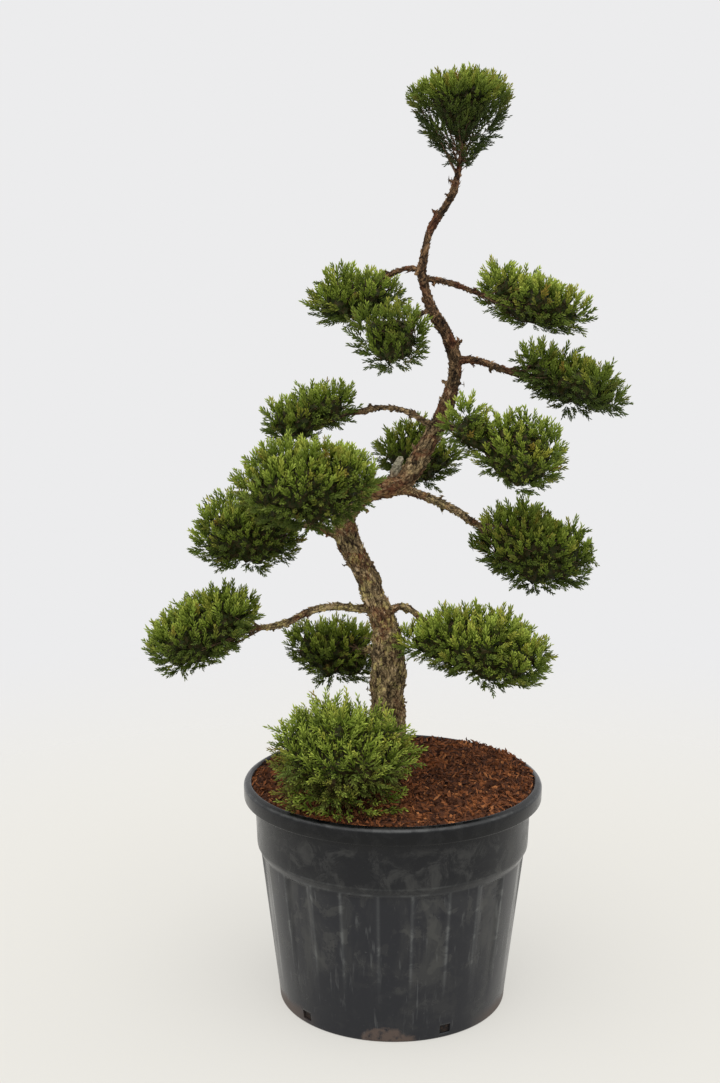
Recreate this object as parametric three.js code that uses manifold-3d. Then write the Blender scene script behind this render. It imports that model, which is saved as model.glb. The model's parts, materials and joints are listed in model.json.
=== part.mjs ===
// A tall savin juniper trained as a bonsai with cloud-pruned foliage, in its round plastic pot.
// Millimetres, +Z up. The origin is the centre of the pot's flat underside, and the front is -Y.

import * as THREE from 'three';
import { mergeVertices } from 'three/addons/utils/BufferGeometryUtils.js';
import Module from 'manifold-3d';

const wasm = await Module();
wasm.setup();

// Driving dimensions
const gap = 0.35; // clearance between pieces that touch

const pot = {
  baseRadius: 230,
  shoulderRadius: 266, // top of the tapered body
  bandRadius: 273.5, // foot of the plain band under the rim
  bandTopRadius: 277,
  rimRadius: 299.5,
  mouthRadius: 283,
  shoulder: 310,
  band: 326,
  rim: 420, // underside of the rolled rim
  height: 455,
  wall: 4.5,
  floor: 6,
  channels: 12,
  channelTurn: 15, // degrees from the front to the first channel
  channelDepth: 4.5,
  channelFoot: 40, // the channels run out above the base
  drains: 5,
  drainSize: [22, 30, 17],
  drainHeight: 18.5,
  drainTurn: -47, // degrees from the front to the first drain hole
  sides: 48,
};

const soilTop = 404;
const mulchEdge = 448;
const mulchCrown = 461; // the bark mulch is mounded a little round the trunk
const mulchRelief = 4;
const mulchSides = 34;
const mulchRings = 5;

const footRadius = 42; // the trunk's plain foot, which stands in the soil
const footDepth = 340;
const barkRelief = 0.075; // share of the radius
const stubLength = [14, 30];

const sprayHeight = [26, 46]; // how far the foliage sprays stand out of the pad
const sprayLift = 0.45; // how much they turn up
const undersideSpray = 0.55; // shorter sprays below
const lumpShare = 0.13;

// The trunk from its foot to its tip: x, y, z and diameter
const trunkRoute = [
  [-9, 0, 452, 86], [-9, 0, 500, 77], [-9, 0, 552, 72], [-11, 0, 626, 67], [-9, 0, 694, 68],
  [-16, 0, 759, 55], [-32, 0, 808, 49], [-47, 0, 854, 46], [-64, -2, 889, 45], [-82, -5, 925, 46],
  [-94, -8, 955, 47], [-96, -12, 986, 46], [-81, -14, 1014, 45], [-50, -12, 1035, 40],
  [-10, -8, 1043, 40], [18, -4, 1057, 40], [42, 0, 1084, 37], [64, 4, 1124, 34], [85, 6, 1162, 33],
  [101, 6, 1198, 32], [112, 4, 1235, 27], [118, 2, 1272, 24], [114, 0, 1303, 24],
  [100, -3, 1340, 25], [76, -6, 1377, 22], [60, -4, 1420, 19], [52, -2, 1458, 17],
  [59, 0, 1500, 15], [69, 2, 1537, 15], [88, 4, 1567, 15], [107, 4, 1596, 15], [118, 2, 1634, 13],
  [126, 0, 1682, 11], [125, 0, 1728, 8],
];

// The branches, each from inside the trunk to its end inside a foliage pad
const branchRoutes = {
  upperLeft: [[52, -2, 1458, 11], [31, 8, 1464, 11], [10, 15, 1459, 10], [-20, 24, 1445, 9],
    [-58, 30, 1424, 8]],
  upperLeftLow: [[74, -6, 1383, 10], [54, -27, 1380, 10], [31, -52, 1358, 9], [8, -68, 1336, 8]],
  upperRight: [[55, -3, 1445, 12], [88, 6, 1440, 12], [130, 16, 1428, 11], [172, 24, 1412, 10],
    [218, 29, 1400, 9]],
  middleRight: [[116, 0, 1287, 17], [146, -3, 1290, 15], [178, -6, 1283, 14], [214, -8, 1270, 13],
    [266, -10, 1256, 10]],
  middleLeft: [[85, 5, 1157, 13], [60, 10, 1170, 12], [31, 16, 1187, 12], [-2, 20, 1196, 11],
    [-37, 24, 1195, 12], [-71, 28, 1187, 12], [-124, 30, 1180, 9]],
  front: [[92, 4, 1166, 15], [103, -38, 1166, 13], [132, -88, 1166, 12], [180, -118, 1150, 10]],
  back: [[38, 0, 1078, 17], [37, 58, 1080, 14], [40, 108, 1085, 12], [43, 146, 1087, 10]],
  largeLeft: [[-92, -12, 984, 20], [-115, -48, 1006, 17], [-140, -88, 1030, 14],
    [-166, -118, 1048, 12]],
  largeLeftLow: [[-92, -8, 942, 18], [-123, -5, 953, 16], [-148, 2, 966, 14], [-194, 8, 966, 12],
    [-246, 12, 956, 9]],
  right: [[2, -6, 1044, 22], [40, -15, 1034, 18], [80, -18, 1019, 17], [119, -12, 1000, 16],
    [150, -4, 978, 14], [208, 6, 944, 11]],
  lowerLeft: [[-28, 0, 800, 20], [-66, -2, 801, 17], [-105, -4, 805, 15], [-141, -4, 803, 15],
    [-174, -4, 792, 14], [-208, -2, 774, 14], [-246, 0, 764, 13], [-310, 0, 758, 10]],
  lowerBack: [[-12, 0, 700, 20], [-26, 58, 698, 16], [-60, 106, 691, 13], [-98, 144, 685, 11]],
  lowerRight: [[-14, 0, 784, 18], [3, -8, 803, 16], [22, -15, 808, 15], [40, -25, 799, 14],
    [62, -36, 780, 14], [88, -46, 766, 12], [134, -55, 748, 10]],
  bottom: [[-9, -4, 520, 30], [-34, -56, 527, 20], [-64, -98, 528, 16], [-92, -132, 530, 12]],
  deadSnag: [[16, -2, 1060, 15], [5, -12, 1079, 12], [-1, -17, 1096, 9]],
};

// Where cut twigs have left stubs: branch or trunk, place along it from 0 to 1, and turn
const stubSpots = {
  trunk: [[0.1, 200], [0.16, 20], [0.21, 130], [0.27, 300], [0.32, 75], [0.38, 240], [0.44, 160],
    [0.5, 330], [0.55, 95], [0.6, 210], [0.66, 20], [0.72, 140], [0.78, 290], [0.86, 60]],
  right: [[0.35, 150], [0.6, 20]],
  lowerLeft: [[0.35, 90], [0.5, 300]],
  middleLeft: [[0.45, 60]],
};

// The foliage pads. Each lobe has its centre, half width and half depth, its height above and
// below the centre, how round (2) or conical (1) its underside is, a tilt that lowers its right
// end, and the fineness of its sprays. A top above 2 is flatter.
const pads = {
  foliage_crown: [
    { at: [124, 0, 1764], half: [112, 96], up: 64, down: 168, top: 3, taper: 0.95, tilt: -2, fine: 3 },
  ],
  foliage_upper_left: [
    { at: [-76, 30, 1396], half: [100, 78], up: 60, down: 62, taper: 2, tilt: -3, fine: 2 },
  ],
  foliage_upper_left_low: [
    { at: [-5, -74, 1332], half: [78, 60], up: 54, down: 98, taper: 1.5, tilt: 1, fine: 2 },
  ],
  foliage_upper_right: [
    { at: [270, 30, 1391], half: [127, 84], up: 54, down: 61, taper: 2, tilt: 21, fine: 2 },
  ],
  foliage_middle_right: [
    { at: [335, -10, 1239], half: [130, 84], up: 56, down: 57, taper: 2, tilt: 21, fine: 2 },
  ],
  foliage_middle_left: [
    { at: [-168, 30, 1172], half: [105, 74], up: 46, down: 48, taper: 2, tilt: -25, fine: 2 },
  ],
  foliage_front: [
    { at: [238, -120, 1108], half: [87, 78], up: 84, down: 88, taper: 1.7, tilt: 8, fine: 2 },
    { at: [134, -112, 1154], half: [66, 54], up: 43, down: 42, taper: 2, tilt: -8, fine: 1 },
  ],
  foliage_back: [
    { at: [50, 152, 1072], half: [98, 70], up: 72, down: 72, taper: 2, tilt: 10, fine: 2 },
  ],
  foliage_large_left: [
    { at: [-170, -128, 1049], half: [146, 92], up: 93, down: 84, taper: 1.8, tilt: -6, fine: 3 },
  ],
  foliage_large_left_low: [
    { at: [-284, 4, 940], half: [114, 96], up: 88, down: 84, taper: 1.8, tilt: -8, fine: 2 },
  ],
  foliage_right: [
    { at: [281, 12, 909], half: [131, 108], up: 86, down: 92, taper: 1.8, tilt: 22, fine: 2 },
  ],
  foliage_lower_left: [
    { at: [-372, 0, 748], half: [135, 100], up: 71, down: 70, taper: 1.9, tilt: -26, fine: 2 },
  ],
  foliage_lower_back: [
    { at: [-118, 152, 668], half: [109, 76], up: 68, down: 74, taper: 1.9, tilt: 0, fine: 2 },
  ],
  foliage_lower_right: [
    { at: [176, -60, 726], half: [151, 112], up: 82, down: 86, taper: 1.8, tilt: 18, fine: 2 },
    { at: [52, -58, 738], half: [46, 42], up: 36, down: 34, taper: 2, tilt: 0, fine: 1 },
  ],
  foliage_bottom: [
    { at: [-99, -162, 544], half: [134, 120], up: 100, down: 88, taper: 3.6, tilt: 0, fine: 3 },
  ],
};

const materials = {
  pot: paint('#3a3a3a', 0.55),
  soil: paint('#35251b', 1),
  mulch: paint('#53381f', 0.95),
  wood: paint('#5d4f3b', 0.9),
  foliage: paint('#4c5a22', 0.85),
};

function paint(color, roughness) {
  return new THREE.MeshStandardMaterial({ color, roughness, metalness: 0, flatShading: true });
}

// Numbers between 0 and 1 that are the same on each run
function draws(seed) {
  let state = seed * 7919 + 17;
  return () => {
    state = (state * 1664525 + 1013904223) % 4294967296;
    return state / 4294967296;
  };
}

function between(low, high, share) {
  return low + (high - low) * share;
}

// An indexed triangle list of positions alone, with no triangle of no area
function weld(geometry) {
  const bare = geometry.clone();
  bare.deleteAttribute('normal');
  bare.deleteAttribute('uv');
  const merged = mergeVertices(bare, 1e-4);
  const index = [...merged.index.array];
  const kept = [];
  for (let i = 0; i < index.length; i += 3) {
    const [a, b, c] = index.slice(i, i + 3);
    if (a !== b && b !== c && c !== a) kept.push(a, b, c);
  }
  merged.setIndex(kept);
  return merged;
}

// Six times the volume, which is negative where the faces point inwards
function signedVolume(geometry) {
  const corner = new THREE.Vector3();
  const corners = [...geometry.index.array].map((i) => (
    corner.fromBufferAttribute(geometry.attributes.position, i).clone()
  ));
  let total = 0;
  for (let i = 0; i < corners.length; i += 3) {
    total += corners[i].dot(corners[i + 1].clone().cross(corners[i + 2]));
  }
  return total;
}

function toSolid(geometry) {
  const welded = weld(geometry);
  const triVerts = Uint32Array.from(welded.index.array);
  if (signedVolume(welded) < 0) triVerts.reverse();
  const vertProperties = Float32Array.from(welded.attributes.position.array);
  return new wasm.Manifold(new wasm.Mesh({ numProp: 3, vertProperties, triVerts }));
}

// The largest body of a solid as a geometry: a scrap that a cut has freed is dropped
function toGeometry(solid) {
  const bodies = solid.decompose();
  const body = bodies.reduce((best, next) => (next.volume() > best.volume() ? next : best));
  const mesh = body.getMesh();
  const geometry = new THREE.BufferGeometry();
  geometry.setAttribute('position', new THREE.BufferAttribute(mesh.vertProperties, 3));
  geometry.setIndex(new THREE.BufferAttribute(mesh.triVerts, 1));
  geometry.computeVertexNormals();
  return geometry;
}

// How deep a point of the pot's wall lies in one of the upright channels, from 0 to 1
function channelShare(turn, height) {
  const pitch = (2 * Math.PI) / pot.channels;
  const first = THREE.MathUtils.degToRad(pot.channelTurn);
  const off = Math.abs(((((turn - first) / pitch) % 1) + 1.5) % 1 - 0.5);
  const across = off < 0.15 ? 1 : 0;
  const run = THREE.MathUtils.clamp((height - pot.channelFoot) / (pot.shoulder - pot.channelFoot), 0, 1);
  return height > pot.shoulder + 1 ? 0 : across * run;
}

// A solid of revolution about Z from an outline of [radius, height] points that starts and ends
// on the axis, with the channels pressed into its wall
function turned(outline, sides = pot.sides) {
  const points = outline.map(([radius, height]) => new THREE.Vector2(radius, height));
  const geometry = weld(new THREE.LatheGeometry(points, sides, Math.PI / sides));
  geometry.rotateX(Math.PI / 2);
  const place = geometry.attributes.position;
  for (let i = 0; i < place.count; i += 1) {
    const [x, y, z] = [place.getX(i), place.getY(i), place.getZ(i)];
    const radius = Math.hypot(x, y);
    if (radius < 1) continue;
    const inset = pot.channelDepth * channelShare(Math.atan2(x, -y), z);
    place.setXY(i, x * (1 - inset / radius), y * (1 - inset / radius));
  }
  return geometry;
}

function makePot() {
  const inner = (radius) => radius - pot.wall;
  const outline = [
    [0, 0], [pot.baseRadius - 4, 0], [pot.baseRadius, 4],
    [pot.baseRadius + 4, pot.channelFoot], [pot.shoulderRadius, pot.shoulder],
    [pot.bandRadius, pot.band], [pot.bandTopRadius, pot.rim], [pot.rimRadius - 1, pot.rim],
    [pot.rimRadius, pot.height - 17], [pot.rimRadius - 7, pot.height - 3],
    [pot.mouthRadius + 5, pot.height], [pot.mouthRadius, pot.height - 4],
    [inner(pot.bandTopRadius), pot.rim], [inner(pot.bandRadius), pot.band],
    [inner(pot.shoulderRadius), pot.shoulder], [inner(pot.baseRadius + 4), pot.channelFoot],
    [inner(pot.baseRadius + 1), pot.floor], [0, pot.floor],
  ];
  let solid = toSolid(turned(outline));
  for (let i = 0; i < pot.drains; i += 1) {
    const turn = THREE.MathUtils.degToRad(pot.drainTurn + (360 / pot.drains) * i);
    const hole = new THREE.BoxGeometry(...pot.drainSize);
    hole.translate(0, -pot.baseRadius, pot.drainHeight);
    hole.rotateZ(turn);
    solid = solid.subtract(toSolid(hole));
  }
  return solid;
}

// The root ball and its soil fill the pot up to the mulch
function makeSoil() {
  const inner = (radius) => radius - pot.wall - gap * 1.2;
  const atTop = THREE.MathUtils.mapLinear(soilTop, pot.band, pot.rim, pot.bandRadius, pot.bandTopRadius);
  const outline = [
    [0, pot.floor + gap], [inner(pot.baseRadius + 1), pot.floor + gap],
    [inner(pot.baseRadius + 4), pot.channelFoot], [inner(pot.shoulderRadius), pot.shoulder],
    [inner(pot.bandRadius), pot.band], [inner(atTop), soilTop], [0, soilTop],
  ];
  return toSolid(turned(outline.reverse())); // top down, as the pot's inner wall is
}

// A layer of shredded bark with a broken surface
function makeMulch() {
  const random = draws(5);
  const inner = (radius) => (radius - pot.wall) * Math.cos(Math.PI / pot.sides) - gap;
  const atFoot = THREE.MathUtils.mapLinear(soilTop, pot.band, pot.rim, pot.bandRadius, pot.bandTopRadius);
  const edge = inner(pot.bandTopRadius + 8) - 1;
  const outline = [[0, soilTop + gap], [inner(atFoot), soilTop + gap],
    [inner(pot.bandTopRadius), pot.rim], [inner(pot.bandTopRadius + 2), mulchEdge - 14]];
  for (let i = 0; i < mulchRings; i += 1) {
    const radius = edge * (1 - i / mulchRings);
    outline.push([radius, between(mulchCrown, mulchEdge, (radius / edge) ** 2)]);
  }
  outline.push([0, mulchCrown]);
  const geometry = turned(outline, mulchSides);
  const place = geometry.attributes.position;
  for (let i = 0; i < place.count; i += 1) {
    const [x, y, z] = [place.getX(i), place.getY(i), place.getZ(i)];
    const lift = between(-mulchRelief, mulchRelief, random());
    const slide = 1 + between(-0.02, 0.02, random());
    if (z < mulchEdge - 1) continue;
    const atEdge = Math.hypot(x, y) > edge - 1;
    place.setXYZ(i, x * (atEdge ? 1 : slide), y * (atEdge ? 1 : slide), z + (atEdge ? 0 : lift));
  }
  return toSolid(geometry);
}

// A tapered limb along a route, with bark relief. A swollen one is the room that it needs.
function limb(route, sides, seed, swell = 0, relief = barkRelief) {
  const random = draws(seed);
  const curve = new THREE.CatmullRomCurve3(route.map(([x, y, z]) => new THREE.Vector3(x, y, z)));
  const spans = route.length - 1;
  const strands = Array.from({ length: sides }, () => between(-relief, relief, random()));
  const positions = [];
  const index = [];
  let side = new THREE.Vector3(1, 0, 0);
  let along = curve.getTangent(0);
  side.addScaledVector(along, -side.dot(along)).normalize();
  for (let s = 0; s <= spans; s += 1) {
    const t = s / spans;
    const next = curve.getTangent(t);
    side.applyQuaternion(new THREE.Quaternion().setFromUnitVectors(along, next));
    along = next;
    const across = new THREE.Vector3().crossVectors(along, side);
    const radius = route[s][3] / 2;
    const centre = curve.getPoint(t);
    for (let k = 0; k < sides; k += 1) {
      const turn = (2 * Math.PI * k) / sides;
      const rough = 1 + strands[k] + between(-relief, relief, random()) * 0.6;
      const reach = radius * rough + swell;
      positions.push(
        centre.x + reach * (side.x * Math.cos(turn) + across.x * Math.sin(turn)),
        centre.y + reach * (side.y * Math.cos(turn) + across.y * Math.sin(turn)),
        centre.z + reach * (side.z * Math.cos(turn) + across.z * Math.sin(turn)),
      );
    }
  }
  for (let s = 0; s < spans; s += 1) {
    for (let k = 0; k < sides; k += 1) {
      const [a, b] = [s * sides + k, s * sides + ((k + 1) % sides)];
      index.push(a, b, b + sides, a, b + sides, a + sides);
    }
  }
  const last = spans * sides;
  const start = curve.getPoint(0).addScaledVector(curve.getTangent(0), -swell);
  const end = curve.getPoint(1).addScaledVector(along, route[spans][3] * 0.4 + swell * 1.6);
  positions.push(start.x, start.y, start.z, end.x, end.y, end.z);
  for (let k = 0; k < sides; k += 1) {
    const n = (k + 1) % sides;
    index.push(n, k, last + sides, last + k, last + n, last + sides + 1);
  }
  const geometry = new THREE.BufferGeometry();
  geometry.setAttribute('position', new THREE.Float32BufferAttribute(positions, 3));
  geometry.setIndex(index);
  return toSolid(geometry);
}

// The short stub of a cut twig at a place along a limb
function stub([along, turn], route, seed, swell) {
  const random = draws(seed);
  const curve = new THREE.CatmullRomCurve3(route.map(([x, y, z]) => new THREE.Vector3(x, y, z)));
  const root = curve.getPoint(along);
  const tangent = curve.getTangent(along);
  const out = new THREE.Vector3(1, 0.2, 0.1).cross(tangent).normalize();
  out.applyAxisAngle(tangent, THREE.MathUtils.degToRad(turn)).addScaledVector(tangent, 0.7).normalize();
  const radius = route[Math.round(along * (route.length - 1))][3] / 2;
  const length = radius + between(...stubLength, random()) * 0.7;
  const tip = root.clone().addScaledVector(out, length);
  const thickness = between(6, 9, random());
  return limb([[...root.toArray(), thickness + 2], [...tip.toArray(), thickness * 0.7]], 4, seed, swell, 0);
}

// The trunk's plain foot, which goes down into the root ball
function foot(swell) {
  const round = new THREE.CylinderGeometry(footRadius + swell, footRadius + swell, 1, 14);
  const height = trunkRoute[0][2] + 14 - footDepth + swell;
  round.scale(1, height, 1);
  round.rotateX(Math.PI / 2);
  round.translate(trunkRoute[0][0], trunkRoute[0][1], footDepth - swell + height / 2);
  return toSolid(round);
}

// All the wood as one solid: trunk, branches, dead snag and stubs
function makeWood(swell = 0) {
  const pieces = [foot(swell), limb(trunkRoute, 10, 1, swell)];
  Object.values(branchRoutes).forEach((route, i) => pieces.push(limb(route, 6, 20 + i, swell)));
  Object.entries(stubSpots).forEach(([name, spots], i) => {
    const route = name === 'trunk' ? trunkRoute : branchRoutes[name];
    spots.forEach((spot, j) => pieces.push(stub(spot, route, 100 + 40 * i + j, swell)));
  });
  return pieces.reduce((whole, piece) => whole.add(piece));
}

// One lobe of foliage: a lumpy core whose every facet is raised to a pointed spray
function makeLobe(lobe, seed) {
  const random = draws(seed);
  const mean = between(...sprayHeight, 0.5);
  const core = (size) => Math.max(size - mean * 0.85, size * 0.4);
  const lumps = Array.from({ length: 9 }, () => ({
    way: new THREE.Vector3(random() - 0.5, random() - 0.5, random() - 0.5).normalize(),
    share: between(-lumpShare, lumpShare, random()),
  }));
  const ball = weld(new THREE.IcosahedronGeometry(1, lobe.fine));
  const turn = new THREE.Matrix4().makeRotationY(THREE.MathUtils.degToRad(lobe.tilt));
  const centre = new THREE.Vector3(...lobe.at);
  const place = ball.attributes.position;
  const points = [];
  for (let i = 0; i < place.count; i += 1) {
    const way = new THREE.Vector3().fromBufferAttribute(place, i).normalize();
    const flat = Math.hypot(way.x, way.y);
    const power = way.z > 0 ? lobe.top ?? 2.2 : lobe.taper;
    let size = (flat ** power + Math.abs(way.z) ** power) ** (-1 / power);
    lumps.forEach((lump) => {
      size *= 1 + lump.share * Math.exp(5 * (way.dot(lump.way) - 1));
    });
    const rise = way.z > 0 ? lobe.up : lobe.down;
    const point = new THREE.Vector3(core(lobe.half[0]), core(lobe.half[1]), core(rise));
    points.push(point.multiply(way).multiplyScalar(size).applyMatrix4(turn).add(centre));
  }
  const positions = points.flatMap((point) => point.toArray());
  const index = [];
  const up = new THREE.Vector3(0, 0, 1);
  for (let i = 0; i < ball.index.count; i += 3) {
    const corners = [0, 1, 2].map((k) => ball.index.getX(i + k));
    const [a, b, c] = corners.map((corner) => points[corner]);
    const normal = new THREE.Triangle(a, b, c).getNormal(new THREE.Vector3());
    const weights = [random(), random(), random()].map((share) => between(0.75, 1.25, share));
    const total = weights[0] + weights[1] + weights[2];
    const root = new THREE.Vector3();
    [a, b, c].forEach((corner, k) => root.addScaledVector(corner, weights[k] / total));
    const below = THREE.MathUtils.smoothstep(-normal.z, 0.1, 0.8);
    const height = between(...sprayHeight, random()) * between(1, undersideSpray, below);
    const lean = up.clone().addScaledVector(normal, -normal.z).multiplyScalar(sprayLift);
    const tip = root.addScaledVector(normal.add(lean).normalize(), height);
    const top = positions.push(...tip.toArray()) / 3 - 1;
    corners.forEach((corner, k) => index.push(corner, corners[(k + 1) % 3], top));
  }
  const geometry = new THREE.BufferGeometry();
  geometry.setAttribute('position', new THREE.Float32BufferAttribute(positions, 3));
  geometry.setIndex(index);
  return toSolid(geometry);
}

function makePad(lobes, seed, room) {
  const joined = lobes.map((lobe, i) => makeLobe(lobe, seed + 7 * i)).reduce((a, b) => a.add(b));
  return joined.subtract(room);
}

const wood = makeWood();
const woodRoom = makeWood(gap);

const tree = new THREE.Group();
tree.name = 'potted_juniper';

function place(name, solid, material) {
  const mesh = new THREE.Mesh(toGeometry(solid), material);
  mesh.name = name;
  tree.add(mesh);
}

place('pot', makePot(), materials.pot);
place('potting_soil', makeSoil().subtract(woodRoom), materials.soil);
place('bark_mulch', makeMulch().subtract(woodRoom), materials.mulch);
place('trunk', wood, materials.wood);
Object.entries(pads).forEach(([name, lobes], i) => {
  place(name, makePad(lobes, 200 + 20 * i, woodRoom), materials.foliage);
});

export default tree;
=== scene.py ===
# A potted savin juniper with cloud-pruned foliage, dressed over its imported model.
# Metres, +Z up, front towards -Y. Each finished piece is a plain mesh at the origin.
import json
import math
import random

import bmesh
import bpy
import numpy as np
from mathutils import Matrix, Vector, noise

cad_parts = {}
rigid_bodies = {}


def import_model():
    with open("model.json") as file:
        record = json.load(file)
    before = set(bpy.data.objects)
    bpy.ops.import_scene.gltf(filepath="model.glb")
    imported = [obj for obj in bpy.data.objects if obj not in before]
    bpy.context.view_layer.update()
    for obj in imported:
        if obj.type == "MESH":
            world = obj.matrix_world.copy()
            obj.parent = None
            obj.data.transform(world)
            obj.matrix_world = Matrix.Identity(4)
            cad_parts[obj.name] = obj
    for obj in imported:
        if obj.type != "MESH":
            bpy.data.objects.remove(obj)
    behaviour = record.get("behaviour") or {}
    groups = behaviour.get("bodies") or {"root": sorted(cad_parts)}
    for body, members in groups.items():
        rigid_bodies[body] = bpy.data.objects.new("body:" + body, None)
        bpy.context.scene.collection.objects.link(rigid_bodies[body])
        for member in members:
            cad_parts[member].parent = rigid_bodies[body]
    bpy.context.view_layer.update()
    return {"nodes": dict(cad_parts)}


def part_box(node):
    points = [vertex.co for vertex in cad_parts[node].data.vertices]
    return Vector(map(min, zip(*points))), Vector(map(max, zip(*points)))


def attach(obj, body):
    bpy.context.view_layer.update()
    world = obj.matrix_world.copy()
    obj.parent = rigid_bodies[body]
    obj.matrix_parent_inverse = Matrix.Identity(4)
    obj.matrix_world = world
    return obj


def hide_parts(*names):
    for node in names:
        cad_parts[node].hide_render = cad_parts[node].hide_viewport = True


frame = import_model()
print("model loaded:", len(frame["nodes"]), "nodes")


def stand(name, data):
    # A new object in the scene that shows the data
    piece = bpy.data.objects.new(name, data)
    bpy.context.scene.collection.objects.link(piece)
    return piece


# The camera stands a little left of the trunk and looks slightly down
cameraSetup = {"place": (-0.0657, -2.868, 1.4168), "pitch": 9.53, "lens": 49.2, "sensor": 36.0}


def makeCamera(setup):
    data = bpy.data.cameras.new("camera")
    data.lens = setup["lens"]
    data.sensor_width = setup["sensor"]
    data.sensor_fit = "AUTO"
    camera = stand("camera", data)
    camera.location = setup["place"]
    camera.rotation_euler = (math.radians(90 - setup["pitch"]), 0, 0)
    bpy.context.scene.camera = camera


makeCamera(cameraSetup)
bpy.context.scene.view_settings.view_transform = "Standard"


class Value:
    # A socket that takes part in sums: each operator adds a Math node

    def __init__(self, net, socket):
        self.net = net
        self.socket = socket

    def maths(self, operation, *terms):
        return self.net.add("ShaderNodeMath", dict(enumerate(terms)), operation=operation)

    def __add__(self, other):
        return self.maths("ADD", self, other)

    def __radd__(self, other):
        return self.maths("ADD", other, self)

    def __sub__(self, other):
        return self.maths("SUBTRACT", self, other)

    def __rsub__(self, other):
        return self.maths("SUBTRACT", other, self)

    def __mul__(self, other):
        return self.maths("MULTIPLY", self, other)

    def __rtruediv__(self, other):
        return self.maths("DIVIDE", other, self)

    def largest(self, other):
        return self.maths("MAXIMUM", self, other)

    def between(self, low, high, start=0.0, end=1.0):
        values = {"Value": self, "From Min": low, "From Max": high, "To Min": start, "To Max": end}
        return self.net.add("ShaderNodeMapRange", values, interpolation_type="SMOOTHSTEP")


class Net:
    # Adds nodes to a shader tree or a geometry tree

    def __init__(self, tree):
        self.tree = tree
        tree.nodes.clear()

    def add(self, kind, values=None, out=0, **settings):
        node = self.tree.nodes.new(kind)
        for name, value in settings.items():
            setattr(node, name, value)
        for key, value in (values or {}).items():
            if isinstance(value, (Value, list)):
                for link in value if isinstance(value, list) else [value]:
                    self.tree.links.new(link.socket, node.inputs[key])
            else:
                node.inputs[key].default_value = value
        return Value(self, node.outputs[out]) if len(node.outputs) else node

    def mix(self, share, first, second, blend="MIX"):
        values = {0: share, 6: first, 7: second}
        return self.add("ShaderNodeMix", values, 2, data_type="RGBA", blend_type=blend)

    def layers(self, tones, first, *coats):
        # Lays coats over a colour, each as its share, its tone and, if need be, its blend
        colour = tones[first]
        for share, coat, *blend in coats:
            colour = self.mix(share, colour, tones[coat], *blend)
        return colour

    def vector(self, operation, first, second):
        return self.add("ShaderNodeVectorMath", {0: first, 1: second}, operation=operation)

    def scaled(self, vector, share):
        return self.add("ShaderNodeVectorMath", {0: vector, 3: share}, operation="SCALE")

    def length(self, vector):
        return self.add("ShaderNodeVectorMath", {0: vector}, "Value", operation="LENGTH")

    def place(self):
        return self.add("ShaderNodeTexCoord", out="Object")

    def attribute(self, name, out="Fac"):
        return self.add("ShaderNodeAttribute", None, out, attribute_name=name)

    def grain(self, place, scale, detail, rough, warp=0.0, out=0):
        values = {"Vector": place, "Scale": scale, "Detail": detail, "Roughness": rough, "Distortion": warp}
        return self.add("ShaderNodeTexNoise", values, out)

    def cracks(self, place, scale):
        # How far a point lies from the nearest edge between cells
        values = {"Vector": place, "Scale": scale}
        return self.add("ShaderNodeTexVoronoi", values, "Distance", feature="DISTANCE_TO_EDGE")

    def bump(self, height, strength, distance):
        values = {"Height": height, "Strength": strength, "Distance": distance}
        return self.add("ShaderNodeBump", values)

    def moved(self, geometry, offset):
        return self.add("GeometryNodeSetPosition", {"Geometry": geometry, "Offset": offset})

    def height(self, place):
        return self.add("ShaderNodeSeparateXYZ", {0: place}, 2)


def tone(red, green, blue):
    # A colour given as it looks on screen, from 0 to 255
    def straight(level):
        share = level / 255
        return share / 12.92 if share <= 0.04045 else ((share + 0.055) / 1.055) ** 2.4
    return (straight(red), straight(green), straight(blue), 1.0)


def makeFinish(build):
    # A material with the name of the function that builds it
    material = bpy.data.materials.new(build.__name__)
    material.use_nodes = True
    net = Net(material.node_tree)
    shader = net.add("ShaderNodeBsdfPrincipled", build(net))
    net.add("ShaderNodeOutputMaterial", {"Surface": shader})
    return material


# Finishes

plasticLook = {
    "dark": tone(31, 32, 36), "dusty": tone(60, 60, 58), "nearBlack": tone(2, 3, 5), "soiled": tone(96, 80, 70),
    "wearAndHighlight": tone(116, 118, 116), "roughness": 0.2, "shine": 0.27, "spill": (-0.012, -0.232, -0.012),
}


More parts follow.
